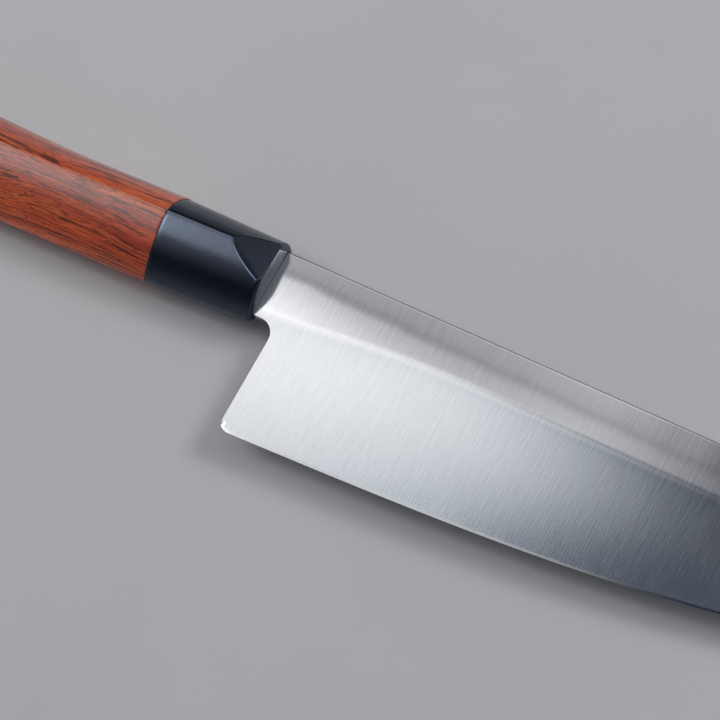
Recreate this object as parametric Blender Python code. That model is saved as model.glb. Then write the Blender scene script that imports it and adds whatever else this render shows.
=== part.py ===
"""Santoku kitchen knife with a hidden tang, lying on its side.

The handle runs along X, the tip is at +X, the spine faces +Y and one cheek of the blade
faces +Z. The pieces are drawn with X = 0 on the front face of the ferrule, Y = 0 on the
spine where it leaves the ferrule and Z = 0 in the middle plane of the blade. At the end
the empty that carries them sets the knife down with its box centred over the origin.
"""

import math

import bmesh
import bpy
from mathutils import Matrix, Vector

MM = 0.001
# The gap between pieces that touch, how far the blade's outline stands clear of the spine
# it doesn't cut, and how far a cutter runs past what it cuts.
CLEARANCE = 0.3 * MM
TRIM = 0.05 * MM
CUTTER_REACH = 5.0 * MM

# Blade. Lengths run along the spine from the ferrule, depths run down from the spine.
BLADE_LENGTH = 165.0 * MM
BLADE_THICKNESS = 1.9 * MM
SPINE_TILT = math.radians(1.7)
SPINE_STRAIGHT = 117.0 * MM
SPINE_CHAMFER = 0.25 * MM
NOSE_POWER = 2.2
HEEL_SETBACK = 7.0 * MM
HEEL_DEPTH = 47.1 * MM
HEEL_RADIUS = 2.8 * MM
HEEL_SWEEP = math.radians(80)
EDGE_RISE = 18.1 * MM
EDGE_STRAIGHT_SHARE = 0.43
BELLY_POWER = 3.2
CHOIL_RADIUS = 4.4 * MM
SHOULDER_DEPTH = 15.6 * MM
SHOULDER_RISE = math.radians(1.3)
SHOULDER_BLEND = 2.5 * MM
BEVEL_THICKNESS = 0.5 * MM
HEEL_BEVEL = 1.2 * MM
TIP_BEVEL = 0.45 * MM

# Neck and tang, cut from the same blank and hidden in the handle.
NECK_DEPTH = 18.2 * MM
NECK_INSET = 1.8 * MM
TANG_DROP = 4.5 * MM
TANG_ROOT_HEIGHT = 8.0 * MM
TANG_END_HEIGHT = 5.0 * MM
ADHESIVE_WALL = 0.8 * MM

# Handle. Its section has a ridge on each side, a low crown above and a deep keel below.
HANDLE_LENGTH = 130.0 * MM
RIDGE_DEPTH = 4.2 * MM
SECTION_POWER = 1.5
WOOD_BEHIND_TANG = 32.0 * MM
WOOD_FRONT_CROWN = 7.3 * MM
WOOD_REAR_CROWN = 9.2 * MM
WOOD_KEEL = 16.8 * MM
WOOD_FRONT_HALF_WIDTH = 8.55 * MM
WOOD_REAR_HALF_WIDTH = 9.2 * MM
SWELL_START = 58.0 * MM
SWELL_LENGTH = 50.0 * MM
BUTT_CHAMFER = 0.8 * MM

# Ferrule, a moulded cap that is driven over a tenon on the front of the wood.
FERRULE_LENGTH = 31.0 * MM
FERRULE_STEP = 0.15 * MM
FERRULE_FRONT_CROWN = 6.1 * MM
FERRULE_FRONT_KEEL = 15.9 * MM
FERRULE_FRONT_HALF_WIDTH = 8.2 * MM
FERRULE_WALL = 2.2 * MM
FERRULE_FRONT_WALL = 6.0 * MM
FRONT_ROUND_LENGTH = 1.8 * MM
FRONT_ROUND_INSET = 0.6 * MM

# Pinch facets: planes that start on the ridge and drop towards the front face.
FACET_LENGTH = 11.7 * MM
FACET_PITCH = math.radians(14.3)
FACET_ROLL = math.radians(-5.9)
FACET_RIM_PITCH = math.radians(10.9)
FACET_RIM_ROLL = math.radians(-0.4)

# How finely the round forms are divided, and the angles from which an edge is shaded sharp.
SECTION_STEPS = 32
ROUND_STEPS = 4
EDGE_STEPS = 22
NOSE_STEPS = 14
ARC_STEPS = 8
SWELL_STEPS = 8
WELD_DISTANCE = 0.01 * MM
GRIND_SHARP_ANGLE = math.radians(8)
HANDLE_SHARP_ANGLE = math.radians(20)


def new_collection(name):
    collection = bpy.data.collections.new(name)
    bpy.context.scene.collection.children.link(collection)
    return collection


def principled(name, color, metallic, roughness):
    material = bpy.data.materials.new(name)
    material.use_nodes = True
    shader = material.node_tree.nodes["Principled BSDF"]
    shader.inputs["Base Color"].default_value = (*color, 1.0)
    shader.inputs["Metallic"].default_value = metallic
    shader.inputs["Roughness"].default_value = roughness
    material.diffuse_color = (*color, 1.0)
    return material


def add_object(name, shape, collection):
    """Turn a bmesh into an object carried by the base empty."""
    bmesh.ops.recalc_face_normals(shape, faces=shape.faces)
    mesh = bpy.data.meshes.new(name)
    shape.to_mesh(mesh)
    shape.free()
    piece = bpy.data.objects.new(name, mesh)
    piece.parent = base
    collection.objects.link(piece)
    if collection is cutters:
        piece.hide_render = True
        piece.display_type = 'WIRE'
    return piece


def loft(name, rings, collection):
    """Skin a row of closed rings that have as many points each, and cap both ends."""
    shape = bmesh.new()
    loops = [[shape.verts.new(point) for point in ring] for ring in rings]
    for back, front in zip(loops, loops[1:]):
        for i in range(len(back)):
            shape.faces.new((back[i - 1], back[i], front[i], front[i - 1]))
    shape.faces.new(loops[0])
    shape.faces.new(loops[-1])
    return add_object(name, shape, collection)


def flat_solid(name, outline, thickness, collection):
    """Fill a flat outline in XY and give it a thickness about Z = 0."""
    curve = bpy.data.curves.new(name, 'CURVE')
    curve.dimensions = '2D'
    curve.fill_mode = 'BOTH'
    curve.extrude = thickness / 2
    spline = curve.splines.new('POLY')
    spline.points.add(len(outline) - 1)
    for point, (x, y) in zip(spline.points, outline):
        point.co = (x, y, 0.0, 1.0)
    spline.use_cyclic_u = True
    drawing = bpy.data.objects.new(name + "_drawing", curve)
    bpy.context.scene.collection.objects.link(drawing)
    bpy.context.view_layer.update()
    depsgraph = bpy.context.evaluated_depsgraph_get()
    filled = bpy.data.meshes.new_from_object(drawing.evaluated_get(depsgraph))
    bpy.data.objects.remove(drawing)
    shape = bmesh.new()
    shape.from_mesh(filled)
    bpy.data.meshes.remove(filled)
    bmesh.ops.remove_doubles(shape, verts=shape.verts, dist=WELD_DISTANCE)
    return add_object(name, shape, collection)


def box(name, low, high, collection):
    size = Vector(high) - Vector(low)
    middle = (Vector(high) + Vector(low)) / 2
    shape = bmesh.new()
    place = Matrix.Translation(middle) @ Matrix.Diagonal((*size, 1.0))
    bmesh.ops.create_cube(shape, size=1.0, matrix=place)
    return add_object(name, shape, collection)


def boolean(piece, tool, operation):
    modifier = piece.modifiers.new(tool.name, 'BOOLEAN')
    modifier.operation = operation
    modifier.solver = 'EXACT'
    modifier.object = tool


def finish(piece, material, sharp_angle):
    piece.data.materials.append(material)
    piece.data.shade_smooth()
    piece.data.set_sharp_from_angle(angle=sharp_angle)


def mix(start, end, share):
    return start + (end - start) * share


def tang_end():
    return -HANDLE_LENGTH + WOOD_BEHIND_TANG + ADHESIVE_WALL + 2 * CLEARANCE


def tang_outline(grow, front):
    """The tapered tang along the handle from X = front back to its end, grown all round."""
    end = tang_end()
    root = -NECK_INSET
    middle = -TANG_DROP - TANG_ROOT_HEIGHT / 2
    slope = (TANG_ROOT_HEIGHT - TANG_END_HEIGHT) / 2 / (root - end)
    front_half = TANG_ROOT_HEIGHT / 2 + (front - root) * slope + grow
    end_half = TANG_END_HEIGHT / 2 - grow * slope + grow
    return [(front, middle - front_half), (front, middle + front_half),
            (end - grow, middle + end_half), (end - grow, middle - end_half)]


def along_spine(x, y):
    """A point of the handle's drawing in the blade's drawing, which follows the spine."""
    c, s = math.cos(SPINE_TILT), math.sin(SPINE_TILT)
    return (x * c - y * s, x * s + y * c)


def edge_depth(x):
    """How far the cutting edge lies below the spine line: straight at the heel, then a belly."""
    start = HEEL_SETBACK + HEEL_RADIUS
    run = (x - start) / (BLADE_LENGTH - start)
    belly = max(run, 0.0) ** BELLY_POWER
    return HEEL_DEPTH - EDGE_RISE * mix(belly, run, EDGE_STRAIGHT_SHARE)


def blank_ring(x):
    """Section of the ground blank: parallel cheeks, soft shoulder, flat grind, edge bevel."""
    half = BLADE_THICKNESS / 2
    bevel_half = BEVEL_THICKNESS / 2
    edge = edge_depth(x)
    bevel_top = edge - mix(HEEL_BEVEL, TIP_BEVEL, x / BLADE_LENGTH)
    shoulder = SHOULDER_DEPTH - x * math.tan(SHOULDER_RISE)
    blend = SHOULDER_BLEND / 2
    grind_slope = (half - bevel_half) / (bevel_top - shoulder)
    side = [
        (0.0, half - SPINE_CHAMFER),
        (SPINE_CHAMFER, half),
        (shoulder - blend, half),
        (shoulder + blend, half - blend * grind_slope),
        (bevel_top, bevel_half),
        (edge, 0.0),
    ]
    near = [(x, -depth, z) for depth, z in side]
    far = [(x, -depth, -z) for depth, z in reversed(side[:-1])]
    return near + far


def arc(center, radius, start, sweep):
    return [(center[0] + radius * math.cos(start + sweep * i / ARC_STEPS),
             center[1] + radius * math.sin(start + sweep * i / ARC_STEPS)) for i in range(ARC_STEPS + 1)]


def blade_outline():
    """Side view of the blade and tang, drawn clear of the ground edge and of the spine."""
    tip_depth = edge_depth(BLADE_LENGTH)
    nose = []
    for i in range(NOSE_STEPS + 2):
        t = i / NOSE_STEPS
        drop = tip_depth * t ** NOSE_POWER
        nose.append((mix(SPINE_STRAIGHT, BLADE_LENGTH, t), TRIM * (1 - t) - drop))
    below = -HEEL_DEPTH - CUTTER_REACH
    heel_center = (HEEL_SETBACK + HEEL_RADIUS, -HEEL_DEPTH + HEEL_RADIUS)
    heel = arc(heel_center, HEEL_RADIUS, math.pi + HEEL_SWEEP, -HEEL_SWEEP)
    leave_x = heel[0][0] + CUTTER_REACH * math.sin(HEEL_SWEEP)
    leave_y = heel[0][1] - CUTTER_REACH * math.cos(HEEL_SWEEP)
    choil = arc((HEEL_SETBACK - CHOIL_RADIUS, -NECK_DEPTH - CHOIL_RADIUS), CHOIL_RADIUS, 0.0, math.pi / 2)
    corners = [along_spine(x, y) for x, y in tang_outline(0.0, -NECK_INSET)]
    root_bottom, root_top, end_top, end_bottom = corners
    neck = [(-NECK_INSET, -NECK_DEPTH), (-NECK_INSET, root_bottom[1])]
    tang = [end_bottom, end_top, (-NECK_INSET, root_top[1]), (-NECK_INSET, TRIM)]
    return nose + [(nose[-1][0], below), (leave_x, leave_y)] + heel + choil + neck + tang


def handle_ring(x, crown, keel, half_width, inset=0.0):
    """Chestnut section of the handle: a Lame curve with unlike halves above and below the ridge."""
    ring = []
    for i in range(SECTION_STEPS):
        angle = 2 * math.pi * i / SECTION_STEPS
        up = math.copysign(abs(math.sin(angle)) ** (2 / SECTION_POWER), math.sin(angle))
        out = math.copysign(abs(math.cos(angle)) ** (2 / SECTION_POWER), math.cos(angle))
        height = (crown if up > 0 else keel) - inset
        ring.append((x, -RIDGE_DEPTH + height * up, (half_width - inset) * out))
    return ring


def wood_ring(x, inset=0.0):
    swell = min(max((-x - SWELL_START) / SWELL_LENGTH, 0.0), 1.0)
    swell = swell * swell * (3 - 2 * swell)
    crown = mix(WOOD_FRONT_CROWN, WOOD_REAR_CROWN, swell)
    widening = (-x - FERRULE_LENGTH) / (HANDLE_LENGTH - FERRULE_LENGTH)
    half_width = mix(WOOD_FRONT_HALF_WIDTH, WOOD_REAR_HALF_WIDTH, widening)
    return handle_ring(x, crown, WOOD_KEEL, half_width, inset)


def ferrule_half_width(x):
    return mix(FERRULE_FRONT_HALF_WIDTH, WOOD_FRONT_HALF_WIDTH - FERRULE_STEP, -x / FERRULE_LENGTH)


def ferrule_ring(x, inset=0.0):
    back = -x / FERRULE_LENGTH
    crown = mix(FERRULE_FRONT_CROWN, WOOD_FRONT_CROWN - FERRULE_STEP, back)
    keel = mix(FERRULE_FRONT_KEEL, WOOD_KEEL - FERRULE_STEP, back)
    return handle_ring(x, crown, keel, ferrule_half_width(x), inset)


def make_blade():
    """One steel blank, ground thin below the shoulder and sharpened, then cut to its outline."""
    start = HEEL_SETBACK + HEEL_RADIUS
    stations = [tang_end() - CUTTER_REACH]
    stations += [mix(start, BLADE_LENGTH, i / EDGE_STEPS) for i in range(EDGE_STEPS + 1)]
    stations.append(BLADE_LENGTH + 2 * CUTTER_REACH)
    blade = loft("blade", [blank_ring(x) for x in stations], parts)
    outline = flat_solid("blade_outline", blade_outline(), BLADE_THICKNESS + 2 * CUTTER_REACH, cutters)
    blade.rotation_euler.z = -SPINE_TILT
    outline.rotation_euler.z = -SPINE_TILT
    boolean(blade, outline, 'INTERSECT')
    finish(blade, principled("satin_steel", (0.62, 0.64, 0.66), 1.0, 0.3), GRIND_SHARP_ANGLE)


def make_ferrule():
    """Black moulded cap: blade slot and tang passage in front, socket for the tenon behind."""
    rings = [ferrule_ring(-FERRULE_LENGTH)]
    for i in range(ROUND_STEPS + 1):
        angle = math.pi / 2 * i / ROUND_STEPS
        x = -FRONT_ROUND_LENGTH * (1 - math.sin(angle))
        rings.append(ferrule_ring(x, FRONT_ROUND_INSET * (1 - math.cos(angle))))
    ferrule = loft("ferrule", rings, parts)

    socket_front = -FERRULE_FRONT_WALL
    socket_back = -FERRULE_LENGTH - CUTTER_REACH
    socket = loft("socket", [ferrule_ring(x, FERRULE_WALL) for x in (socket_back, socket_front)], cutters)
    boolean(ferrule, socket, 'DIFFERENCE')

    half_slot = BLADE_THICKNESS / 2 + CLEARANCE
    slot = box("slot", (-NECK_INSET - CLEARANCE, -NECK_DEPTH - CLEARANCE, -half_slot),
               (CUTTER_REACH, CLEARANCE, half_slot), cutters)
    slot.rotation_euler.z = -SPINE_TILT
    boolean(ferrule, slot, 'DIFFERENCE')
    passage = flat_solid("tang_passage", tang_outline(CLEARANCE, -NECK_INSET), 2 * half_slot, cutters)
    boolean(ferrule, passage, 'DIFFERENCE')

    on_ridge = (-FACET_LENGTH, -RIDGE_DEPTH, ferrule_half_width(-FACET_LENGTH))
    start = Matrix.Translation(on_ridge)
    size = 2 * FERRULE_LENGTH
    lift = Matrix.Translation((0.0, 0.0, size / 2))
    planes = {"facet": (FACET_PITCH, FACET_ROLL), "facet_rim": (FACET_RIM_PITCH, FACET_RIM_ROLL)}
    for name, (pitch, roll) in planes.items():
        turn = Matrix.Rotation(pitch, 4, 'Y') @ Matrix.Rotation(roll, 4, 'X')
        for side, sign in (("near", 1.0), ("far", -1.0)):
            shape = bmesh.new()
            flip = Matrix.Diagonal((1.0, 1.0, sign, 1.0))
            bmesh.ops.create_cube(shape, size=size, matrix=flip @ start @ turn @ lift)
            boolean(ferrule, add_object(f"{name}_{side}", shape, cutters), 'DIFFERENCE')
    resin = principled("black_resin", (0.012, 0.013, 0.016), 0.0, 0.16)
    finish(ferrule, resin, HANDLE_SHARP_ANGLE)


def make_wooden_handle():
    """One piece of red hardwood: tenon, shoulder against the ferrule, swell and flat butt."""
    tenon_front = -FERRULE_FRONT_WALL - CLEARANCE
    shoulder = -FERRULE_LENGTH - CLEARANCE
    tenon_inset = FERRULE_WALL + CLEARANCE
    rings = [wood_ring(-HANDLE_LENGTH, BUTT_CHAMFER), wood_ring(-HANDLE_LENGTH + BUTT_CHAMFER)]
    for i in range(SWELL_STEPS + 1):
        rings.append(wood_ring(-SWELL_START - SWELL_LENGTH * (1 - i / SWELL_STEPS)))
    rings.append(wood_ring(shoulder))
    rings.append(ferrule_ring(shoulder, tenon_inset))
    rings.append(ferrule_ring(tenon_front, tenon_inset))
    handle = loft("wooden_handle", rings, parts)
    room = ADHESIVE_WALL + 2 * CLEARANCE
    bore = flat_solid("tang_bore", tang_outline(room, 0.0), BLADE_THICKNESS + 2 * room, cutters)
    boolean(handle, bore, 'DIFFERENCE')
    wood = principled("red_hardwood", (0.33, 0.085, 0.035), 0.0, 0.38)
    finish(handle, wood, HANDLE_SHARP_ANGLE)


def make_tang_adhesive():
    """Hardened adhesive that fills the bore round the tang."""
    front = -FERRULE_FRONT_WALL - CLEARANCE
    grow = ADHESIVE_WALL + CLEARANCE
    sleeve = flat_solid("tang_adhesive", tang_outline(grow, front), BLADE_THICKNESS + 2 * grow, parts)
    room = BLADE_THICKNESS + 2 * CLEARANCE
    pocket = flat_solid("tang_pocket", tang_outline(CLEARANCE, 0.0), room, cutters)
    boolean(sleeve, pocket, 'DIFFERENCE')
    resin = principled("amber_adhesive", (0.55, 0.42, 0.22), 0.0, 0.45)
    finish(sleeve, resin, HANDLE_SHARP_ANGLE)


def set_down():
    """Move the base so that the box round the pieces is centred over the origin, on Z = 0."""
    bpy.context.view_layer.update()
    depsgraph = bpy.context.evaluated_depsgraph_get()
    corners = []
    for piece in parts.objects:
        final = piece.evaluated_get(depsgraph)
        corners += [piece.matrix_world @ vertex.co for vertex in final.data.vertices]
    low = [min(corner[axis] for corner in corners) for axis in range(3)]
    high = [max(corner[axis] for corner in corners) for axis in range(3)]
    base.location = (-(low[0] + high[0]) / 2, -(low[1] + high[1]) / 2, -low[2])


for leftover in list(bpy.data.objects):
    bpy.data.objects.remove(leftover, do_unlink=True)

parts = new_collection("santoku_knife")
cutters = new_collection("cutters")
base = bpy.data.objects.new("knife_base", None)
bpy.context.scene.collection.objects.link(base)

make_blade()
make_ferrule()
make_wooden_handle()
make_tang_adhesive()
set_down()
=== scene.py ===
"""Santoku kitchen knife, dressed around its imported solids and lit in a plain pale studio.

The knife lies on its side, with the handle along X, the tip at +X and the spine facing +Y.
Sizes are in millimetres of the knife's drawing, whose zero is where the spine leaves the
ferrule, in the middle plane of the blade.
"""

import math

import bmesh
import bpy
from mathutils import Matrix, Vector


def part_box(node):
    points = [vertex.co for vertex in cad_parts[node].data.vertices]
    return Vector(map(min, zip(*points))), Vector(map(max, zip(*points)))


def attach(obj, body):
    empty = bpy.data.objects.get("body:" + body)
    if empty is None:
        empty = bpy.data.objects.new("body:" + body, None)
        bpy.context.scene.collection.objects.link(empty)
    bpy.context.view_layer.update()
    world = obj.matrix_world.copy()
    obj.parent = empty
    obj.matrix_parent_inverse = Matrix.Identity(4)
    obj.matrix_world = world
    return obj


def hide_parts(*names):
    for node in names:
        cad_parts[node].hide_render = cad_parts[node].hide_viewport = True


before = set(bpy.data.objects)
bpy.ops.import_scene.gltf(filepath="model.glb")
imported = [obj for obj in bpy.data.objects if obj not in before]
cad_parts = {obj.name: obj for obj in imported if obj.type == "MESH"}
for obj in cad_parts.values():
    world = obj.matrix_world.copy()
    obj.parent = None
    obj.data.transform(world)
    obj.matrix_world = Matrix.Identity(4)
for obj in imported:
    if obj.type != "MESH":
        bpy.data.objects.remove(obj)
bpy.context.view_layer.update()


# Blade: one blank of stainless steel, with a soft shoulder and a slightly hollow grind down
# to a sharpened bevel. The wheel leaves fine lines across it, and buffing rolls the cheeks
# over beside the spine. Neck and tang are part of the blank and go into the handle.
MM = 0.001
SPINE_TILT = math.radians(1.7)
NECK_INSET = 1.8
blade_low, blade_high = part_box("blade")
ferrule_low, ferrule_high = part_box("ferrule")
HALF_THICKNESS = (blade_high.z - blade_low.z) / 2 / MM
drawing_zero = Vector((
    ferrule_high.x,
    blade_high.y - NECK_INSET * MM * math.sin(SPINE_TILT),
    (blade_low.z + blade_high.z) / 2,
))

BLADE_LENGTH = 165.0
SPINE_STRAIGHT = 117.0
NOSE_POWER = 2.2
HEEL_SETBACK = 7.0
HEEL_DEPTH = 47.1
HEEL_RADIUS = 2.8
HEEL_SWEEP = math.radians(80)
EDGE_RISE = 18.1
EDGE_STRAIGHT_SHARE = 0.43
BELLY_POWER = 3.2
CHOIL_RADIUS = 4.4
NECK_DEPTH = 18.2
SHOULDER_DEPTH = 12.0
SHOULDER_SAG = 4.4
SHOULDER_RUN = 31.2
SHOULDER_BLEND = 1.16
BEVEL_HALF_THICKNESS = 0.17
EDGE_HALF_THICKNESS = 0.01
HEEL_BEVEL = 0.82
TIP_BEVEL = 0.36
SPINE_EASING = 0.25
BORDER_EASING = 0.12
SPINE_STRIP = 5.2
STRIP_BORDER = 4.2
STRIP_SLOPE = 0.0353
STRIP_WIDENING = 0.02
STRIP_MIDDLE = 20
STRIP_WAVE = 0.16
STRIP_WAVES = ((0.29, 1.9, 1.0), (0.53, 0.0, 0.6))
HOLLOW_DEPTH = 0.15
HOLLOW_LENGTH = 4.7
TANG_DROP = 4.5
TANG_ROOT_HEIGHT = 8.0
TANG_END_HEIGHT = 5.0
TANG_MIDDLE = -TANG_DROP - TANG_ROOT_HEIGHT / 2
TANG_END = -96.6
TANG_LAP = 0.5
TANG_SHRINK = 0.01

# The mesh is skinned over lines down the blade, which fan out from the spine to the choil,
# the back of the heel, its corner and the edge, and crowd towards the tip.
NECK_COLUMNS = (-NECK_INSET, -0.6, 0.6, 1.8)
CHOIL_COLUMNS = 12
CHOIL_FAN_END = 6.0
BACK_COLUMNS = 21
BACK_FAN_END = 17.0
CORNER_COLUMNS = 13
CORNER_FAN_END = 20.5
EDGE_COLUMNS = 120
EDGE_FAN_START = 20.9
EDGE_FAN_FADE = 2.2
EDGE_START_GAP = 0.4
TIP_GAP = 0.02
TIP_CROWDING = 1.25
SPINE_EASING_SHARES = (0.0, 0.001, 0.002)
SPINE_ROWS = (0.3, 0.6, 1, 2, 3, 3.6, 4.2, 4.8, 5.4, 6, 6.6, 7.2, 8, 9)
SHOULDER_ROWS = (-1.8, -1.2, -0.8, -0.4, 0.0, 0.4, 0.8, 1.2, 1.8, 2.6)
GRIND_ROWS = 14
LEAST_SHARE = 0.0001
WELD_DISTANCE = 0.0001
BLADE_CREASE = math.radians(9)
MAP_SCALE = 3


def mix(start, end, share):
    return start + (end - start) * share


def edge_depth(x):
    """How far the cutting edge lies below the line of the spine."""
    start = HEEL_SETBACK + HEEL_RADIUS
    run = (x - start) / (BLADE_LENGTH - start)
    belly = max(run, 0.0) ** BELLY_POWER
    return HEEL_DEPTH - EDGE_RISE * mix(belly, run, EDGE_STRAIGHT_SHARE)


def bevel_height(x):
    return mix(HEEL_BEVEL, TIP_BEVEL, x / BLADE_LENGTH)


def spine_y(x):
    """The spine is straight and then drops to the tip in one curve."""
    t = max(x - SPINE_STRAIGHT, 0.0) / (BLADE_LENGTH - SPINE_STRAIGHT)
    return -edge_depth(BLADE_LENGTH) * t ** NOSE_POWER


def shoulder_depth(x):
    """The grind starts lower at the heel, in one soft curve."""
    return SHOULDER_DEPTH + SHOULDER_SAG * math.exp(-(max(x, 0.0) / SHOULDER_RUN) ** 2)


def spine_strip(x, below_spine):
    """How much the buffed strip beside the spine has lost, with a soft and slightly wavy border."""
    wave = sum(size * math.sin(x * pace + phase) for pace, phase, size in STRIP_WAVES)
    border = SPINE_STRIP + STRIP_WIDENING * (x - STRIP_MIDDLE) + STRIP_WAVE * wave
    t = max((border + STRIP_BORDER / 2 - below_spine) / STRIP_BORDER, 0.0)
    rolled = t ** 3 - t ** 4 / 2 if t < 1 else t - 0.5
    return STRIP_SLOPE * STRIP_BORDER * rolled


def half_thickness(x, y):
    """Half the blade's thickness at a point of its side view."""
    edge = edge_depth(x)
    bevel_top = edge - bevel_height(x)
    shoulder = shoulder_depth(x)
    slope = (HALF_THICKNESS - BEVEL_HALF_THICKNESS - HOLLOW_DEPTH) / (bevel_top - shoulder)
    below = -y - shoulder
    if below < SHOULDER_BLEND:
        below = max(below + SHOULDER_BLEND, 0.0) ** 2 / (4 * SHOULDER_BLEND)
    if -y > bevel_top:
        return max(BEVEL_HALF_THICKNESS * (edge + y) / (edge - bevel_top), EDGE_HALF_THICKNESS)
    hollow = HOLLOW_DEPTH * (1 - math.exp(-below / HOLLOW_LENGTH))
    return HALF_THICKNESS - slope * below - hollow - spine_strip(x, spine_y(x) - y)


def blade_columns():
    """Lines down the blade, each from a point on the spine to a point on the lower border.

    The third value says how far the border there is sharpened, from 0 to 1.
    """
    columns = [((x, 0.0), (x, -NECK_DEPTH), 0.0) for x in NECK_COLUMNS]
    arc_x = HEEL_SETBACK - CHOIL_RADIUS
    for i in range(CHOIL_COLUMNS + 1):
        run = i / CHOIL_COLUMNS
        angle = math.pi / 2 * (1 - run)
        x = arc_x + CHOIL_RADIUS * math.cos(angle)
        y = -NECK_DEPTH - CHOIL_RADIUS * (1 - math.sin(angle))
        columns.append(((mix(arc_x, CHOIL_FAN_END, run), 0.0), (x, y), 0.0))
    top = -NECK_DEPTH - CHOIL_RADIUS
    bottom = -HEEL_DEPTH + HEEL_RADIUS
    for i in range(1, BACK_COLUMNS + 1):
        run = i / BACK_COLUMNS
        on_spine = mix(CHOIL_FAN_END, BACK_FAN_END, run)
        columns.append(((on_spine, 0.0), (HEEL_SETBACK, mix(top, bottom, run)), 0.0))
    for i in range(1, CORNER_COLUMNS + 1):
        run = i / CORNER_COLUMNS
        angle = math.pi + HEEL_SWEEP * run
        x = HEEL_SETBACK + HEEL_RADIUS * (1 + math.cos(angle))
        y = bottom + HEEL_RADIUS * math.sin(angle)
        columns.append(((mix(BACK_FAN_END, CORNER_FAN_END, run), 0.0), (x, y), run ** 2))
    heel_end = columns[-1][1][0] + EDGE_START_GAP
    lean = EDGE_FAN_START - heel_end
    for i in range(EDGE_COLUMNS):
        run = 1 - (1 - i / (EDGE_COLUMNS - 1)) ** TIP_CROWDING
        x = mix(heel_end, BLADE_LENGTH - TIP_GAP, run)
        top_x = x + lean * max(1 - EDGE_FAN_FADE * run, 0.0) ** 2
        columns.append(((top_x, spine_y(top_x)), (x, -edge_depth(x)), 1.0))
    return columns


def blade_ring(top, bottom, sharpened):
    """One closed section down a column: the near cheek from spine to border, then the far one."""
    fall = top[1] - bottom[1]
    shoulder = shoulder_depth(mix(top[0], bottom[0], 0.3))
    shares = list(SPINE_EASING_SHARES) + [depth / fall for depth in SPINE_ROWS]
    shares += [(shoulder + offset + top[1]) / fall for offset in SHOULDER_ROWS]
    last = max(1 - mix(BORDER_EASING, bevel_height(bottom[0]), sharpened) / fall, 0.5)
    start = shares[-1]
    shares += [mix(start, last, (i + 1) / GRIND_ROWS) for i in range(GRIND_ROWS)]
    for i in range(1, len(shares)):
        room = last - (len(shares) - 1 - i) * LEAST_SHARE
        shares[i] = min(max(shares[i], shares[i - 1] + LEAST_SHARE), room)
    shares.append(1.0)
    near = []
    for row, share in enumerate(shares):
        x = mix(top[0], bottom[0], share)
        y = mix(top[1], bottom[1], share)
        half = half_thickness(x, y)
        if row < len(SPINE_EASING_SHARES):
            angle = math.pi / 4 * row
            y = top[1] - min(SPINE_EASING, fall / 4) * (1 - math.cos(angle))
            half -= min(SPINE_EASING, 0.5 * half) * (1 - math.sin(angle))
        if row == len(shares) - 1:
            half -= min(BORDER_EASING, 0.4 * half) * (1 - sharpened)
        near.append((x, y, half))
    return near + [(x, y, -z) for x, y, z in reversed(near)]


def loft(rings, loop=False):
    """Skin a row of closed rings that have as many points each, and close its ends or join them."""
    shape = bmesh.new()
    loops = [[shape.verts.new(point) for point in ring] for ring in rings]
    pairs = list(zip(loops, loops[1:]))
    if loop:
        pairs.append((loops[-1], loops[0]))
    for back, front in pairs:
        for i in range(len(back)):
            shape.faces.new((back[i - 1], back[i], front[i], front[i - 1]))
    if not loop:
        shape.faces.new(loops[0])
        shape.faces.new(loops[-1])
    return shape


def make_piece(name, shape, turn=0.0):
    """A mesh object of the drawing, turned about Z and carried to its place in the CAD's frame."""
    bmesh.ops.remove_doubles(shape, verts=shape.verts, dist=WELD_DISTANCE)
    bmesh.ops.recalc_face_normals(shape, faces=shape.faces)
    mesh = bpy.data.meshes.new(name)
    shape.to_mesh(mesh)
    shape.free()
    mesh.transform(Matrix.Translation(drawing_zero) @ Matrix.Rotation(turn, 4, 'Z') @ Matrix.Scale(MM, 4))
    mesh.shade_smooth()
    piece = bpy.data.objects.new(name, mesh)
    bpy.context.scene.collection.objects.link(piece)
    return piece


blade_shape = loft([blade_ring(*column) for column in blade_columns()])
tang_half = HALF_THICKNESS - TANG_SHRINK
tang_rings = []
for x, height in ((-NECK_INSET + TANG_LAP, TANG_ROOT_HEIGHT), (TANG_END, TANG_END_HEIGHT)):
    high = TANG_MIDDLE + height / 2
    low = TANG_MIDDLE - height / 2
    tang_rings.append([(x, high, tang_half), (x, low, tang_half),
                       (x, low, -tang_half), (x, high, -tang_half)])
tang_shape = loft(tang_rings)
tang_mesh = bpy.data.meshes.new("tang")
tang_shape.to_mesh(tang_mesh)
tang_shape.free()
blade_shape.from_mesh(tang_mesh)
bpy.data.meshes.remove(tang_mesh)
blade = make_piece("ground_blade", blade_shape, -SPINE_TILT)
blade.data.set_sharp_from_angle(angle=BLADE_CREASE)
length_map = blade.data.uv_layers.new(name="along_blade")
for corner in blade.data.loops:
    spot = blade.data.vertices[corner.vertex_index].co
    length_map.data[corner.index].uv = (spot.x * MAP_SCALE, spot.y * MAP_SCALE)


def new_group(name, inputs, outputs):
    """A shader node group with named inputs, each with its default value, and named outputs."""
    group = bpy.data.node_groups.new(name, 'ShaderNodeTree')
    for label, kind, value in inputs:
        socket = group.interface.new_socket(label, in_out='INPUT', socket_type=kind)
        if value is not None:
            socket.default_value = value
    for label, kind in outputs:
        group.interface.new_socket(label, in_out='OUTPUT', socket_type=kind)
    return group, group.nodes.new('NodeGroupInput'), group.nodes.new('NodeGroupOutput')


def math_node(tree, operation, a, b):
    node = tree.nodes.new('ShaderNodeMath')
    node.operation = operation
    for socket, value in zip(node.inputs, (a, b)):
        if isinstance(value, bpy.types.NodeSocket):
            tree.links.new(value, socket)
        else:
            socket.default_value = value
    return node.outputs["Value"]


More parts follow.
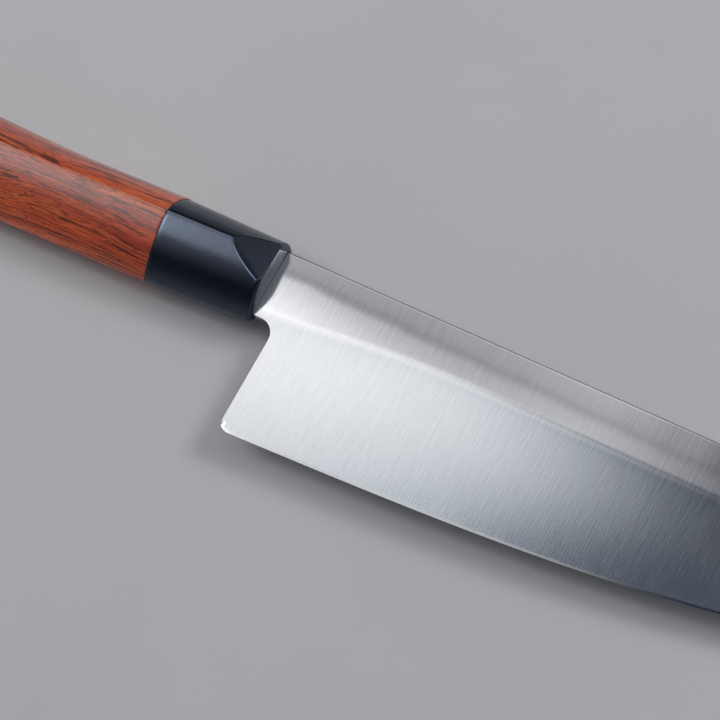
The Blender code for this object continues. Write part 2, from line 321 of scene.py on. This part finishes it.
def ramp_node(tree, factor, stops):
    """A colour ramp from a list of (position, colour), where a number stands for a grey."""
    node = tree.nodes.new('ShaderNodeValToRGB')
    elements = node.color_ramp.elements
    while len(elements) < len(stops):
        elements.new(0.5)
    for element, (position, color) in zip(elements, stops):
        element.position = position
        element.color = (*color, 1) if isinstance(color, tuple) else (color, color, color, 1)
    tree.links.new(factor, node.inputs["Fac"])
    return node.outputs["Color"]


def mix_color(tree, factor, a, b, blend='MIX'):
    node = tree.nodes.new('ShaderNodeMix')
    node.data_type = 'RGBA'
    node.blend_type = blend
    for name, value in (("Factor", factor), ("A", a), ("B", b)):
        socket = next(s for s in node.inputs if s.name == name and s.enabled)
        if isinstance(value, bpy.types.NodeSocket):
            tree.links.new(value, socket)
        elif isinstance(value, tuple):
            socket.default_value = (*value, 1)
        else:
            socket.default_value = value
    return next(s for s in node.outputs if s.enabled)


def streaks_group():
    """Noise drawn out along X: grinding lines, grain and pores differ in their three sizes."""
    group, given, result = new_group(
        "streaks",
        [("Vector", 'NodeSocketVector', None), ("Length", 'NodeSocketFloat', 20.0),
         ("Width", 'NodeSocketFloat', 1.0), ("Depth", 'NodeSocketFloat', 1.0),
         ("Detail", 'NodeSocketFloat', 2.0)],
        [("Mask", 'NodeSocketFloat')])
    scale = group.nodes.new('ShaderNodeCombineXYZ')
    for axis, size in (("X", "Length"), ("Y", "Width"), ("Z", "Depth")):
        group.links.new(math_node(group, 'DIVIDE', 1.0, given.outputs[size]), scale.inputs[axis])
    stretched = group.nodes.new('ShaderNodeVectorMath')
    stretched.operation = 'MULTIPLY'
    group.links.new(given.outputs["Vector"], stretched.inputs[0])
    group.links.new(scale.outputs["Vector"], stretched.inputs[1])
    noise = group.nodes.new('ShaderNodeTexNoise')
    noise.inputs["Scale"].default_value = 1.0
    group.links.new(stretched.outputs["Vector"], noise.inputs["Vector"])
    group.links.new(given.outputs["Detail"], noise.inputs["Detail"])
    group.links.new(noise.outputs["Fac"], result.inputs["Mask"])
    return group


def unevenness_group():
    """A value that wanders about a base, as the gloss of a handled surface does."""
    group, given, result = new_group(
        "unevenness",
        [("Vector", 'NodeSocketVector', None), ("Size", 'NodeSocketFloat', 8.0),
         ("Base", 'NodeSocketFloat', 0.3), ("Amount", 'NodeSocketFloat', 0.05)],
        [("Value", 'NodeSocketFloat')])
    noise = group.nodes.new('ShaderNodeTexNoise')
    noise.inputs["Detail"].default_value = 4.0
    group.links.new(given.outputs["Vector"], noise.inputs["Vector"])
    group.links.new(math_node(group, 'DIVIDE', 1.0, given.outputs["Size"]), noise.inputs["Scale"])
    swing = math_node(group, 'MULTIPLY_ADD', noise.outputs["Fac"], 2.0)
    swing.node.inputs[2].default_value = -1.0
    shift = math_node(group, 'MULTIPLY', swing, given.outputs["Amount"])
    group.links.new(math_node(group, 'ADD', given.outputs["Base"], shift), result.inputs["Value"])
    return group


def place_group(tree, group, vector, **values):
    node = tree.nodes.new('ShaderNodeGroup')
    node.node_tree = group
    tree.links.new(vector, node.inputs["Vector"])
    for name, value in values.items():
        node.inputs[name.capitalize()].default_value = value
    return node.outputs[0]


def new_material(name, turn=0.0, swap=False):
    """A material, its tree, its shader and its coordinates in millimetres, turned to a piece.

    With swap the coordinates' X runs across the piece, so that streaks do too.
    """
    material = bpy.data.materials.new(name)
    material.use_nodes = True
    tree = material.node_tree
    coords = tree.nodes.new('ShaderNodeTexCoord')
    mapping = tree.nodes.new('ShaderNodeMapping')
    mapping.inputs["Rotation"].default_value = (0.0, 0.0, turn)
    mapping.inputs["Scale"].default_value = (1 / MM, 1 / MM, 1 / MM)
    tree.links.new(coords.outputs["Object"], mapping.inputs["Vector"])
    vector = mapping.outputs["Vector"]
    if swap:
        parts = tree.nodes.new('ShaderNodeSeparateXYZ')
        joined = tree.nodes.new('ShaderNodeCombineXYZ')
        tree.links.new(vector, parts.inputs["Vector"])
        tree.links.new(parts.outputs["Y"], joined.inputs["X"])
        tree.links.new(parts.outputs["X"], joined.inputs["Y"])
        tree.links.new(parts.outputs["Z"], joined.inputs["Z"])
        vector = joined.outputs["Vector"]
    return material, tree, tree.nodes["Principled BSDF"], vector


def bump(tree, height, distance, strength=1.0):
    node = tree.nodes.new('ShaderNodeBump')
    node.inputs["Strength"].default_value = strength
    node.inputs["Distance"].default_value = distance
    tree.links.new(height, node.inputs["Height"])
    return node.outputs["Normal"]


streaks = streaks_group()
unevenness = unevenness_group()


def satin_steel():
    """Ground stainless steel: lines across the blade of uneven depth, and slow cloudy patches."""
    material, tree, shader, vector = new_material("satin_steel", SPINE_TILT, swap=True)
    fine = place_group(tree, streaks, vector, length=6.0, width=0.28, depth=3.0, detail=1.0)
    coarse = place_group(tree, streaks, vector, length=14.0, width=0.7, depth=6.0, detail=2.0)
    lines = math_node(tree, 'ADD', math_node(tree, 'MULTIPLY', fine, 0.8),
                      math_node(tree, 'MULTIPLY', coarse, 0.2))
    color = ramp_node(tree, lines, [(0.3, (0.60, 0.607, 0.612)), (0.7, (0.66, 0.667, 0.672))])
    tree.links.new(color, shader.inputs["Base Color"])
    cloudy = place_group(tree, unevenness, vector, size=18.0, base=0.10, amount=0.02)
    rough = math_node(tree, 'ADD', cloudy, math_node(tree, 'MULTIPLY', lines, 0.03))
    tree.links.new(rough, shader.inputs["Roughness"])
    tree.links.new(bump(tree, lines, 0.000005), shader.inputs["Normal"])
    along = tree.nodes.new('ShaderNodeTangent')
    along.direction_type = 'UV_MAP'
    along.uv_map = "along_blade"
    tree.links.new(along.outputs["Tangent"], shader.inputs["Tangent"])
    shader.inputs["Anisotropic"].default_value = 0.6
    shader.inputs["Metallic"].default_value = 1.0
    return material


blade.data.materials.append(satin_steel())
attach(blade, "root")
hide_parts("blade")


# Ferrule: a cap moulded in black resin and polished, with the blade's slot in its flat front
# face. A triangular pinch facet with a narrow rim is milled into the ridge on either side.
# It is driven over a tenon on the wood and bonded there.
FERRULE_LENGTH = 31.0
RIDGE_DEPTH = 4.2
SECTION_POWER = 1.5
FERRULE_STEP = 0.15
FERRULE_FRONT_CROWN = 6.1
FERRULE_FRONT_KEEL = 15.9
FERRULE_FRONT_HALF_WIDTH = 8.2
JOINT_CROWN = 7.3
JOINT_KEEL = 16.8
JOINT_HALF_WIDTH = 8.55
FERRULE_REAR_CROWN = JOINT_CROWN - FERRULE_STEP
FERRULE_REAR_KEEL = JOINT_KEEL - FERRULE_STEP
FERRULE_REAR_HALF_WIDTH = JOINT_HALF_WIDTH - FERRULE_STEP
FERRULE_WALL = 2.2
FERRULE_FRONT_WALL = 6.0
REAR_EASING = 0.12
REAR_EASING_MIDDLE = (0.04, 0.035)
FACE_SETBACK = 0.45
FACE_RINGS = (0.012, 0.03, 0.08, 0.2, 0.4, 0.6, 0.8)
FACET_LENGTH = 11.7
FACET_PITCH = math.radians(14.3)
FACET_ROLL = math.radians(-5.9)
FACET_RIM_PITCH = math.radians(10.9)
FACET_RIM_ROLL = math.radians(-0.4)
RIM_SOFTNESS = 0.09
FACET_SOFTNESS = 0.015
SLOT_GAP = 0.12
SLOT_DRAFT = 0.06
INNER_GAP = 0.3
REAR_RINGS = 12
FACET_RINGS = 95
FACET_RINGS_START = -12.5
RING_GAP = 0.1
RING_STEPS = 360
FERRULE_CREASE = math.radians(40)

# The rounded front edge: a place along the handle, and how far the outside is drawn in there.
FRONT_BAND = ((-1.9, 0.0), (-1.52, 0.003), (-1.42, 0.015), (-1.34, 0.045), (-1.26, 0.10),
              (-1.0, 0.355), (-0.78, 0.57), (-0.71, 0.635), (-0.66, 0.69), (-0.63, 0.74))


def handle_ring(x, crown, keel, half_width, inset=0.0, steps=RING_STEPS):
    """Chestnut section: an oval drawn out to a ridge on each side, low above it and deep below."""
    ring = []
    for i in range(steps):
        angle = 2 * math.pi * i / steps
        up = math.copysign(abs(math.sin(angle)) ** (2 / SECTION_POWER), math.sin(angle))
        out = math.copysign(abs(math.cos(angle)) ** (2 / SECTION_POWER), math.cos(angle))
        height = (crown if up > 0 else keel) - inset
        ring.append((x, -RIDGE_DEPTH + height * up, (half_width - inset) * out))
    return ring


def ferrule_ring(x, inset=0.0, steps=RING_STEPS):
    back = -x / FERRULE_LENGTH
    crown = mix(FERRULE_FRONT_CROWN, FERRULE_REAR_CROWN, back)
    keel = mix(FERRULE_FRONT_KEEL, FERRULE_REAR_KEEL, back)
    half_width = mix(FERRULE_FRONT_HALF_WIDTH, FERRULE_REAR_HALF_WIDTH, back)
    return handle_ring(x, crown, keel, half_width, inset, steps)


def soft_min(a, b, softness):
    """The lower of two heights, with the crease between them rounded."""
    blend = max(softness - abs(a - b), 0.0) / softness
    return min(a, b) - blend * blend * softness / 4


def facet_height(x, y, pitch, roll):
    """Height over the middle plane of a facet that starts on the ridge and drops to the front."""
    normal = Matrix.Rotation(pitch, 3, 'Y') @ Matrix.Rotation(roll, 3, 'X') @ Vector((0, 0, 1))
    share = FACET_LENGTH / FERRULE_LENGTH
    ridge = mix(FERRULE_FRONT_HALF_WIDTH, FERRULE_REAR_HALF_WIDTH, share)
    return ridge - (normal.x * (x + FACET_LENGTH) + normal.y * (y + RIDGE_DEPTH)) / normal.z


def pinch_facets(ring):
    """Press the points of a ring down to the facet and its rim, on both sides alike."""
    cut = []
    for x, y, z in ring:
        height = soft_min(abs(z), facet_height(x, y, FACET_RIM_PITCH, FACET_RIM_ROLL), RIM_SOFTNESS)
        height = soft_min(height, facet_height(x, y, FACET_PITCH, FACET_ROLL), FACET_SOFTNESS)
        cut.append((x, y, math.copysign(height, z)))
    return cut


def slot_ring(ring, x, low, high, half):
    """The points of a ring drawn in to an upright slot, so that the two can be skinned."""
    return [(x, min(max(y, low), high), min(max(z, -half), half)) for _, y, z in ring]


def ferrule_rings():
    """Rings from the rear edge over the outside, in through the slot and back out of the socket."""
    forward, inset = REAR_EASING_MIDDLE
    rings = [ferrule_ring(-FERRULE_LENGTH, REAR_EASING), ferrule_ring(-FERRULE_LENGTH + forward, inset)]
    rings.append(ferrule_ring(-FERRULE_LENGTH + REAR_EASING))
    for i in range(REAR_RINGS + 1):
        rings.append(ferrule_ring(mix(1 - FERRULE_LENGTH, FACET_RINGS_START - RING_GAP, i / REAR_RINGS)))
    for i in range(FACET_RINGS + 1):
        rings.append(ferrule_ring(mix(FACET_RINGS_START, FRONT_BAND[0][0] - RING_GAP, i / FACET_RINGS)))
    rings += [ferrule_ring(x, inset) for x, inset in FRONT_BAND]
    rings = [pinch_facets(ring) for ring in rings]
    face = rings[-1]
    half = HALF_THICKNESS + SLOT_GAP
    mouth = slot_ring(face, -FACE_SETBACK, -NECK_DEPTH - SLOT_GAP, SLOT_GAP, half)
    for share in FACE_RINGS:
        dome = 1 - (1 - share) ** 2
        rings.append([(mix(a[0], b[0], dome), mix(a[1], b[1], share), mix(a[2], b[2], share))
                      for a, b in zip(face, mouth)])
    rings.append(mouth)
    slot_end = -NECK_INSET - INNER_GAP
    rings.append(slot_ring(face, slot_end, -NECK_DEPTH - SLOT_GAP, SLOT_GAP + SLOT_DRAFT, half))
    tang_low = -TANG_DROP - TANG_ROOT_HEIGHT - INNER_GAP
    rings.append(slot_ring(face, slot_end, tang_low, -TANG_DROP + INNER_GAP, half))
    rings.append(slot_ring(face, -FERRULE_FRONT_WALL, tang_low, -TANG_DROP + INNER_GAP, half))
    rings.append(ferrule_ring(-FERRULE_FRONT_WALL, FERRULE_WALL))
    rings.append(ferrule_ring(-FERRULE_LENGTH, FERRULE_WALL))
    return rings


ferrule = make_piece("black_ferrule", loft(ferrule_rings(), loop=True))
ferrule.data.set_sharp_from_angle(angle=FERRULE_CREASE)


def polished_resin():
    """Polished black resin: a slight moulding ripple, and fine wiping marks in the gloss."""
    material, tree, shader, vector = new_material("black_resin")
    marks = place_group(tree, streaks, vector, length=6.0, width=0.25, depth=0.25, detail=2.0)
    gloss = place_group(tree, unevenness, vector, size=5.0, base=0.13, amount=0.04)
    rough = math_node(tree, 'ADD', gloss, math_node(tree, 'MULTIPLY', marks, 0.06))
    color = ramp_node(tree, marks, [(0.35, (0.0022, 0.0022, 0.0028)), (0.7, (0.0045, 0.0047, 0.006))])
    tree.links.new(color, shader.inputs["Base Color"])
    tree.links.new(rough, shader.inputs["Roughness"])
    ripple = place_group(tree, unevenness, vector, size=3.0, base=0.5, amount=0.5)
    tree.links.new(bump(tree, ripple, 0.000012), shader.inputs["Normal"])
    shader.inputs["IOR"].default_value = 1.6
    shader.inputs["Specular IOR Level"].default_value = 1.0
    shader.inputs["Specular Tint"].default_value = (0.64, 0.76, 1.0, 1.0)
    return material


ferrule.data.materials.append(polished_resin())
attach(ferrule, "root")
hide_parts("ferrule")


# Wooden handle: one piece of red-brown hardwood, turned and sanded to the ferrule's section,
# which swells above the ridge towards a flat butt. Its tenon sits in the ferrule, its bore
# takes the tang, and a satin varnish lies over the grain.
HANDLE_LENGTH = 130.0
WOOD_FRONT = -FERRULE_LENGTH - 0.02
WOOD_REAR_CROWN = 9.2
WOOD_REAR_HALF_WIDTH = 9.2
SWELL_START = 58.0
SWELL_LENGTH = 50.0
BUTT_ROUND = 0.8
TENON_INSET = FERRULE_WALL + INNER_GAP
TENON_FRONT = -FERRULE_FRONT_WALL - INNER_GAP
BORE_HALF_WIDTH = 2.35
BORE_MARGIN = 1.4
BUTT_RINGS = 6
BODY_RINGS = 60
WOOD_FRONT_EASING = ((0.08, 0.0), (0.02, 0.03), (0.0, 0.09))
WOOD_STEPS = 160
WOOD_CREASE = math.radians(50)


def wood_ring(x, inset=0.0):
    swell = min(max((-x - SWELL_START) / SWELL_LENGTH, 0.0), 1.0)
    swell = swell * swell * (3 - 2 * swell)
    crown = mix(JOINT_CROWN, WOOD_REAR_CROWN, swell)
    widening = (-x - FERRULE_LENGTH) / (HANDLE_LENGTH - FERRULE_LENGTH)
    half_width = mix(JOINT_HALF_WIDTH, WOOD_REAR_HALF_WIDTH, widening)
    return handle_ring(x, crown, JOINT_KEEL, half_width, inset, WOOD_STEPS)


def wood_rings():
    """Rings from the butt forwards over the outside and the tenon, then back down the bore."""
    rings = []
    for i in range(BUTT_RINGS + 1):
        angle = math.pi / 2 * i / BUTT_RINGS
        x = -HANDLE_LENGTH + BUTT_ROUND * (1 - math.cos(angle))
        rings.append(wood_ring(x, BUTT_ROUND * (1 - math.sin(angle))))
    for i in range(BODY_RINGS + 1):
        rings.append(wood_ring(mix(-HANDLE_LENGTH + BUTT_ROUND + 1, WOOD_FRONT - 0.6, i / BODY_RINGS)))
    rings += [wood_ring(WOOD_FRONT - back, inset) for back, inset in WOOD_FRONT_EASING]
    rings.append(ferrule_ring(WOOD_FRONT, TENON_INSET, WOOD_STEPS))
    rings.append(ferrule_ring(TENON_FRONT, TENON_INSET, WOOD_STEPS))
    mouth = TANG_ROOT_HEIGHT / 2 + BORE_MARGIN
    end = TANG_END_HEIGHT / 2 + BORE_MARGIN
    face = rings[-1]
    bore_end = TANG_END - BORE_MARGIN
    rings.append(slot_ring(face, TENON_FRONT, TANG_MIDDLE - mouth, TANG_MIDDLE + mouth, BORE_HALF_WIDTH))
    rings.append(slot_ring(face, bore_end, TANG_MIDDLE - end, TANG_MIDDLE + end, BORE_HALF_WIDTH))
    return rings


handle = make_piece("hardwood_handle", loft(wood_rings()))
handle.data.set_sharp_from_angle(angle=WOOD_CREASE)


def varnished_hardwood():
    """Red-brown hardwood: growth layers, dark streaks and open pores under a satin varnish.

    The layers lie almost flat in the knife's plane, so they show wide on the side and close
    together above the ridge.
    """
    material, tree, shader, vector = new_material("red_hardwood")
    warp = tree.nodes.new('ShaderNodeTexNoise')
    warp.inputs["Scale"].default_value = 0.035
    warp.inputs["Detail"].default_value = 1.0
    tree.links.new(vector, warp.inputs["Vector"])
    warped = tree.nodes.new('ShaderNodeVectorMath')
    warped.operation = 'MULTIPLY_ADD'
    tree.links.new(warp.outputs["Color"], warped.inputs[0])
    warped.inputs[1].default_value = (0.0, 4.0, 4.0)
    tree.links.new(vector, warped.inputs[2])
    tilt = tree.nodes.new('ShaderNodeMapping')
    tilt.inputs["Rotation"].default_value = (math.radians(22), 0.0, 0.0)
    tree.links.new(warped.outputs["Vector"], tilt.inputs["Vector"])
    grain = tilt.outputs["Vector"]
    layers = place_group(tree, streaks, grain, length=120.0, width=7.0, depth=1.6, detail=2.0)
    lines = place_group(tree, streaks, grain, length=44.0, width=1.0, depth=0.34, detail=3.0)
    breaks = place_group(tree, streaks, grain, length=8.0, width=1.8, depth=1.0, detail=1.0)
    threads = place_group(tree, streaks, grain, length=45.0, width=0.5, depth=0.15, detail=2.0)
    fibres = place_group(tree, streaks, grain, length=7.0, width=0.24, depth=0.24, detail=2.0)
    pores = place_group(tree, streaks, grain, length=1.9, width=0.26, depth=0.26, detail=0.0)
    ground = ramp_node(tree, layers, [(0.34, (0.43, 0.048, 0.014)), (0.5, (0.60, 0.086, 0.024)),
                                      (0.66, (0.73, 0.140, 0.040))])
    held = math_node(tree, 'ADD', lines, math_node(tree, 'MULTIPLY', breaks, 0.22))
    dark_lines = ramp_node(tree, held, [(0.49, 1.0), (0.56, 0.0)])
    thin_lines = ramp_node(tree, threads, [(0.36, 1.0), (0.47, 0.0)])
    color = mix_color(tree, math_node(tree, 'MULTIPLY', thin_lines, 0.6), ground, (0.16, 0.026, 0.012))
    color = mix_color(tree, math_node(tree, 'MULTIPLY', dark_lines, 0.85), color, (0.085, 0.016, 0.010))
    fine = ramp_node(tree, fibres, [(0.3, 0.75), (0.65, 1.15)])
    color = mix_color(tree, 1.0, color, fine, 'MULTIPLY')
    open_pores = ramp_node(tree, pores, [(0.24, 1.0), (0.30, 0.0)])
    color = mix_color(tree, math_node(tree, 'MULTIPLY', open_pores, 0.8), color, (0.03, 0.008, 0.005))
    tree.links.new(color, shader.inputs["Base Color"])
    rough = place_group(tree, unevenness, vector, size=6.0, base=0.42, amount=0.08)
    tree.links.new(rough, shader.inputs["Roughness"])
    depth = math_node(tree, 'SUBTRACT', math_node(tree, 'MULTIPLY', fibres, 0.3), open_pores)
    tree.links.new(bump(tree, depth, 0.00004, 0.6), shader.inputs["Normal"])
    shader.inputs["Specular IOR Level"].default_value = 0.25
    shader.inputs["Coat Weight"].default_value = 1.0
    shader.inputs["Coat Roughness"].default_value = 0.2
    return material


handle.data.materials.append(varnished_hardwood())
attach(handle, "root")
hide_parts("wooden_handle")


# Adhesive: the amber resin that fills the bore round the tang, poured in and left to harden.
# It is hidden by the wood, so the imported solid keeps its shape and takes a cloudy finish.
def amber_adhesive():
    """Hardened resin with paler clouds and a skin of small pits where bubbles broke."""
    material, tree, shader, vector = new_material("amber_adhesive")
    clouds = place_group(tree, unevenness, vector, size=2.5, base=0.5, amount=0.5)
    color = ramp_node(tree, clouds, [(0.3, (0.42, 0.29, 0.13)), (0.7, (0.62, 0.50, 0.28))])
    tree.links.new(color, shader.inputs["Base Color"])
    rough = place_group(tree, unevenness, vector, size=1.5, base=0.45, amount=0.12)
    tree.links.new(rough, shader.inputs["Roughness"])
    pits = tree.nodes.new('ShaderNodeTexVoronoi')
    pits.inputs["Scale"].default_value = 0.8
    tree.links.new(vector, pits.inputs["Vector"])
    rims = ramp_node(tree, pits.outputs["Distance"], [(0.1, 0.0), (0.3, 1.0)])
    tree.links.new(bump(tree, rims, 0.0001, 0.5), shader.inputs["Normal"])
    return material


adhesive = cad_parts["tang_adhesive"]
adhesive.data.materials.clear()
adhesive.data.materials.append(amber_adhesive())


# Floor: the plain pale sheet that the knife lies on. It is part of the studio and not of the
# knife, and only lightly mottled so that the shadow reads.
FLOOR_SIZE = 6.0

floor_shape = bmesh.new()
bmesh.ops.create_grid(floor_shape, x_segments=8, y_segments=8, size=FLOOR_SIZE / 2)
floor_mesh = bpy.data.meshes.new("floor")
floor_shape.to_mesh(floor_mesh)
floor_shape.free()
floor = bpy.data.objects.new("floor", floor_mesh)
bpy.context.scene.collection.objects.link(floor)


def pale_floor():
    material, tree, shader, vector = new_material("pale_floor")
    shade = place_group(tree, unevenness, vector, size=90.0, base=0.5, amount=0.5)
    color = ramp_node(tree, shade, [(0.3, (0.66, 0.66, 0.66)), (0.7, (0.69, 0.69, 0.69))])
    tree.links.new(color, shader.inputs["Base Color"])
    shader.inputs["Roughness"].default_value = 0.8
    return material


floor.data.materials.append(pale_floor())


# Studio: a feathered softbox that the blade mirrors, panels behind the spine and over the
# handle, smaller ones for the ferrule's front, its rim, the bevel and the nose, and a key
# light past the tip. The room is pale at the horizon and dark overhead.
def area_light(name, corner, side, width, height, radiance, across, down, lean=0.0):
    """A rectangular panel that faces down, from a corner in the knife's drawing in metres.

    Its radiance is shaded over its width and its height by two lists of (share, factor), where
    the factor is a grey or a colour. With a lean the shading slides sideways as it goes down.
    """
    light = bpy.data.lights.new(name, 'AREA')
    light.shape = 'RECTANGLE'
    light.size = width
    light.size_y = height
    light.energy = radiance * math.pi * width * height
    light.use_nodes = True
    tree = light.node_tree
    spot = tree.nodes.new('ShaderNodeNewGeometry')
    parts = tree.nodes.new('ShaderNodeSeparateXYZ')
    tree.links.new(spot.outputs["Parametric"], parts.inputs["Vector"])
    slid = math_node(tree, 'MULTIPLY', math_node(tree, 'SUBTRACT', 1.0, parts.outputs["Y"]), lean)
    share = math_node(tree, 'ADD', math_node(tree, 'MULTIPLY', parts.outputs["X"], 1 - lean), slid)
    shade = mix_color(tree, 1.0, ramp_node(tree, share, across),
                      ramp_node(tree, parts.outputs["Y"], down), 'MULTIPLY')
    tree.links.new(shade, tree.nodes["Emission"].inputs["Color"])
    panel = bpy.data.objects.new(name, light)
    bpy.context.scene.collection.objects.link(panel)
    side = Vector((*side, 0.0)).normalized()
    falling = Vector((-side.y, side.x, 0.0))
    middle = drawing_zero + Vector(corner) + side * width / 2 + falling * height / 2
    panel.matrix_world = Matrix.Translation(middle) @ Matrix((side, falling, (0, 0, 1))).transposed().to_4x4()
    panel.visible_camera = False
    return panel


area_light("main_softbox", (-0.0745, 0.2858, 1.0), (-0.9734, 0.2291), 1.13, 0.36, 2.506,
           [(0.1095, 0.0), (0.158, (0.009, 0.010, 0.011)), (0.196, (0.044, 0.048, 0.053)),
            (0.230, (0.262, 0.276, 0.298)), (0.264, (0.408, 0.422, 0.438)), (0.298, (0.504, 0.513, 0.518)),
            (0.331, (0.590, 0.594, 0.592)), (0.380, 0.61), (0.457, 0.675), (0.573, 0.76), (0.862, 0.97)],
           [(0.167, 0.0), (0.221, 0.086), (0.275, 0.49), (0.383, 0.955), (0.599, 0.86),
            (0.978, 0.60)], lean=0.2532)
area_light("spine_panel", (-0.02, 0.53, 1.004), (-1.0, 0.0), 0.73, 0.29, 1.34,
           [(0.0, 0.0), (0.110, 0.175), (0.164, 0.302), (0.219, 0.74), (0.274, 1.0), (0.356, 0.71),
            (0.438, 0.605), (0.521, 0.594), (0.603, 0.639)],
           [(0.0, 1.0), (0.207, 0.97), (0.379, 0.77), (0.517, 0.575), (0.638, 0.400), (0.741, 0.455),
            (0.828, 0.575), (0.914, 0.69), (1.0, 0.69)])
area_light("handle_softbox", (-0.10, 0.08, 1.008), (-1.0, 0.0), 1.10, 0.83, 4.7,
           [(0.0, 0.0), (0.045, 0.018), (0.143, 0.10), (0.209, 0.17), (0.304, 0.24), (0.364, 0.34),
            (0.395, 0.36), (0.43, 0.84), (0.50, 0.86), (0.66, 0.80), (0.75, 1.0)],
           [(0.0, 0.5), (0.08, 1.0), (0.26, 1.0), (0.32, 0.92), (0.434, 0.88), (0.49, 0.55), (0.54, 0.27),
            (0.60, 0.14), (0.70, 0.09), (0.88, 0.03), (1.0, 0.0)])
area_light("ferrule_panel", (0.95, 0.58, 1.012), (-1.0, 0.0), 1.00, 0.50, 0.82,
           [(0.0, 0.0), (0.1, 1.0), (0.65, 1.0), (0.8, 0.85), (0.90, 0.75), (0.95, 0.25), (1.0, 0.0)],
           [(0.0, 0.2), (0.12, 0.8), (0.28, 1.0), (0.76, 1.0), (0.88, 0.7), (1.0, 0.0)])
area_light("rim_panel", (-0.14, 0.10, 1.016), (-1.0, 0.0), 0.18, 0.16, 9.0,
           [(0.0, 0.0), (0.25, (0.75, 0.88, 1.0)), (0.75, (0.75, 0.88, 1.0)), (1.0, 0.0)],
           [(0.0, 0.0), (0.25, 1.0), (0.75, 1.0), (1.0, 0.0)])
area_light("edge_panel", (-0.10, -0.28, 1.028), (-1.0, 0.0), 0.26, 0.28, 0.68,
           [(0.0, 0.2), (0.2, 0.5), (0.5, 0.8), (1.0, 1.0)], [(0.0, 0.5), (0.3, 1.0), (1.0, 0.9)])
area_light("top_panel", (0.43, 0.16, 1.024), (-1.0, 0.0), 0.26, 0.28, 1.5,
           [(0.0, 0.0), (0.2, 1.0), (0.8, 1.0), (1.0, 0.0)], [(0.0, 0.0), (0.2, 1.0), (0.8, 1.0), (1.0, 0.0)])

# The key faces the zero of the drawing, the others face straight down.
key = area_light("key_panel", (1.2, 1.0, 1.02), (-1.0, 0.0), 0.5, 0.5, 9.0,
                 [(0.0, 1.0), (1.0, 1.0)], [(0.0, 1.0), (1.0, 1.0)])
back = (key.matrix_world.translation - drawing_zero).normalized()
level = Vector((-back.y, back.x, 0.0)).normalized()
key.matrix_world = (Matrix.Translation(key.matrix_world.translation)
                    @ Matrix((level, back.cross(level), back)).transposed().to_4x4())

world = bpy.data.worlds.new("studio")
world.use_nodes = True
room = world.node_tree
direction = room.nodes.new('ShaderNodeTexCoord')
rise = room.nodes.new('ShaderNodeSeparateXYZ')
room.links.new(direction.outputs["Generated"], rise.inputs["Vector"])
walls = ramp_node(room, rise.outputs["Z"], [(0.0, (0.30, 0.305, 0.315)), (0.3, (0.24, 0.245, 0.255)),
                                            (0.55, (0.08, 0.085, 0.10)), (0.7, (0.02, 0.03, 0.055))])
room.links.new(walls, room.nodes["Background"].inputs["Color"])
bpy.context.scene.world = world
bpy.context.scene.view_settings.view_transform = 'Standard'


# Camera: where the photographer's stood, above the knife, on the edge's side and past the
# heel, looking down along the blade to the handle.
CAMERA_PLACE = Vector((251.7, -163.63, 532.72)) * MM
CAMERA_RIGHT = Vector((0.85496, 0.46526, -0.2293))
CAMERA_DOWN = Vector((0.3603, -0.85071, -0.38273))
CAMERA_AHEAD = Vector((-0.37313, 0.2446, -0.89495))

camera_data = bpy.data.cameras.new("camera")
camera_data.lens = 125.0
camera_data.sensor_width = 36.0
camera_data.clip_start = 0.01
camera_data.clip_end = 50.0
camera = bpy.data.objects.new("camera", camera_data)
bpy.context.scene.collection.objects.link(camera)
turn = Matrix((CAMERA_RIGHT, -CAMERA_DOWN, -CAMERA_AHEAD)).transposed().to_4x4()
camera.matrix_world = Matrix.Translation(drawing_zero + CAMERA_PLACE) @ turn
bpy.context.scene.camera = camera
